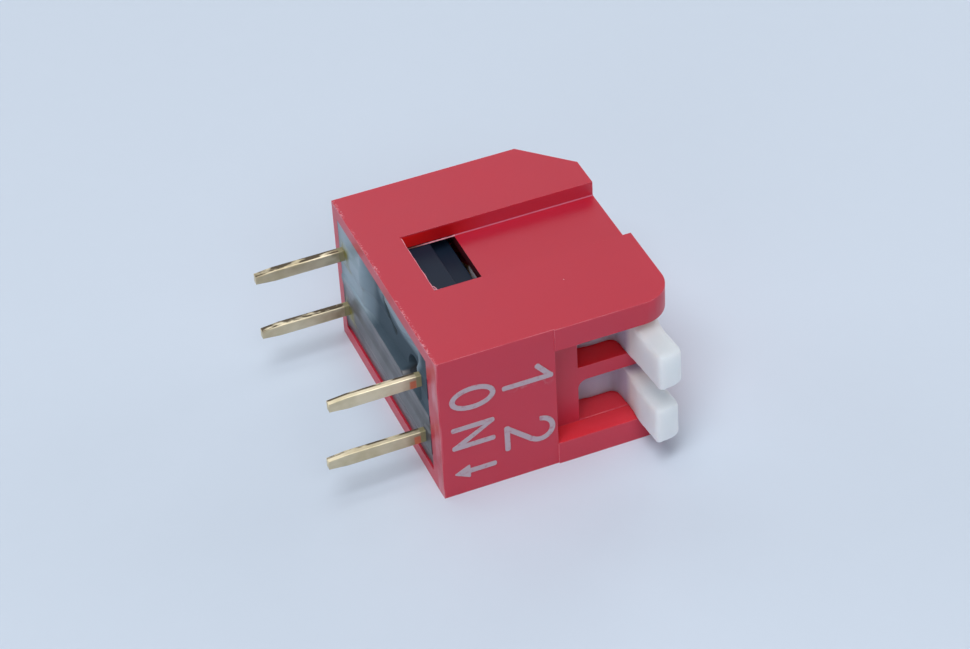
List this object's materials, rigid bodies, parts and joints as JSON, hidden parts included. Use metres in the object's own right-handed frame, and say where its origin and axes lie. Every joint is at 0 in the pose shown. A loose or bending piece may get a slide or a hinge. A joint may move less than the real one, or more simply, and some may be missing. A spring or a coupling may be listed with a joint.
{
  "type": "dip switch",
  "caption": "Side-actuated DIP switch with a red housing, white piano-type levers in front, a printed ON legend and through-hole pins, lying on one end face.",
  "frame": {"origin": "under the middle of the whole switch, pins and levers counted, in the plane of the end face that it lies on", "axes": "+X away from the circuit board, so the pins point along -X; -Y the way the levers stick out; +Z along the row of levers, up from the end face that rests, with way 1 uppermost"},
  "size_m": [0.0126, 0.0116, 0.0061],
  "materials": {
    "red_plastic": "moulded, semi-gloss",
    "base_plastic": "moulded, satin",
    "resin": "cast, glossy",
    "white_plastic": "moulded, soft sheen",
    "pin_metal": "plated, lightly tarnished",
    "spring_metal": "rolled",
    "contact_metal": "plated, bright",
    "ink": "printed, matte"
  },
  "bodies": {
    "case": {"housing": "red_plastic", "base": "base_plastic", "seal": "resin", "contact_terminal_1": "pin_metal", "contact_terminal_2": "pin_metal", "common_terminal_1": "pin_metal", "common_terminal_2": "pin_metal", "fixed_contact_1": "contact_metal", "fixed_contact_2": "contact_metal", "mark_on": "ink", "mark_arrow": "ink", "mark_1": "ink", "mark_2": "ink"},
    "lever_way_1": {"lever_1": "white_plastic"},
    "lever_way_2": {"lever_2": "white_plastic"},
    "contact_way_1": {"contact_spring_1": "spring_metal", "spring_tip_1": "contact_metal"},
    "contact_way_2": {"contact_spring_2": "spring_metal", "spring_tip_2": "contact_metal"}
  },
  "joints": [
    {"name": "lever_1_tilt", "type": "hinge", "parent": "case", "child": "lever_way_1", "pos_m": [0.00396, 0.00111, 0.00414], "axis": [0, 0, -1], "range_deg": [0, 21]},
    {"name": "lever_2_tilt", "type": "hinge", "parent": "case", "child": "lever_way_2", "pos_m": [0.00396, 0.00111, 0.00176], "axis": [0, 0, -1], "range_deg": [0, 21]},
    {"name": "contact_1_bend", "type": "hinge", "parent": "case", "child": "contact_way_1", "pos_m": [-0.00016, -0.00189, 0.00424], "axis": [0, 0, 1], "range_deg": [0, 3.51]},
    {"name": "contact_2_bend", "type": "hinge", "parent": "case", "child": "contact_way_2", "pos_m": [-0.00016, -0.00189, 0.00186], "axis": [0, 0, 1], "range_deg": [0, 3.51]}
  ],
  "couplings": [
    {"joint": "contact_1_bend", "follows": "lever_1_tilt", "ratio": 0.16667},
    {"joint": "contact_2_bend", "follows": "lever_2_tilt", "ratio": 0.16667}
  ]
}
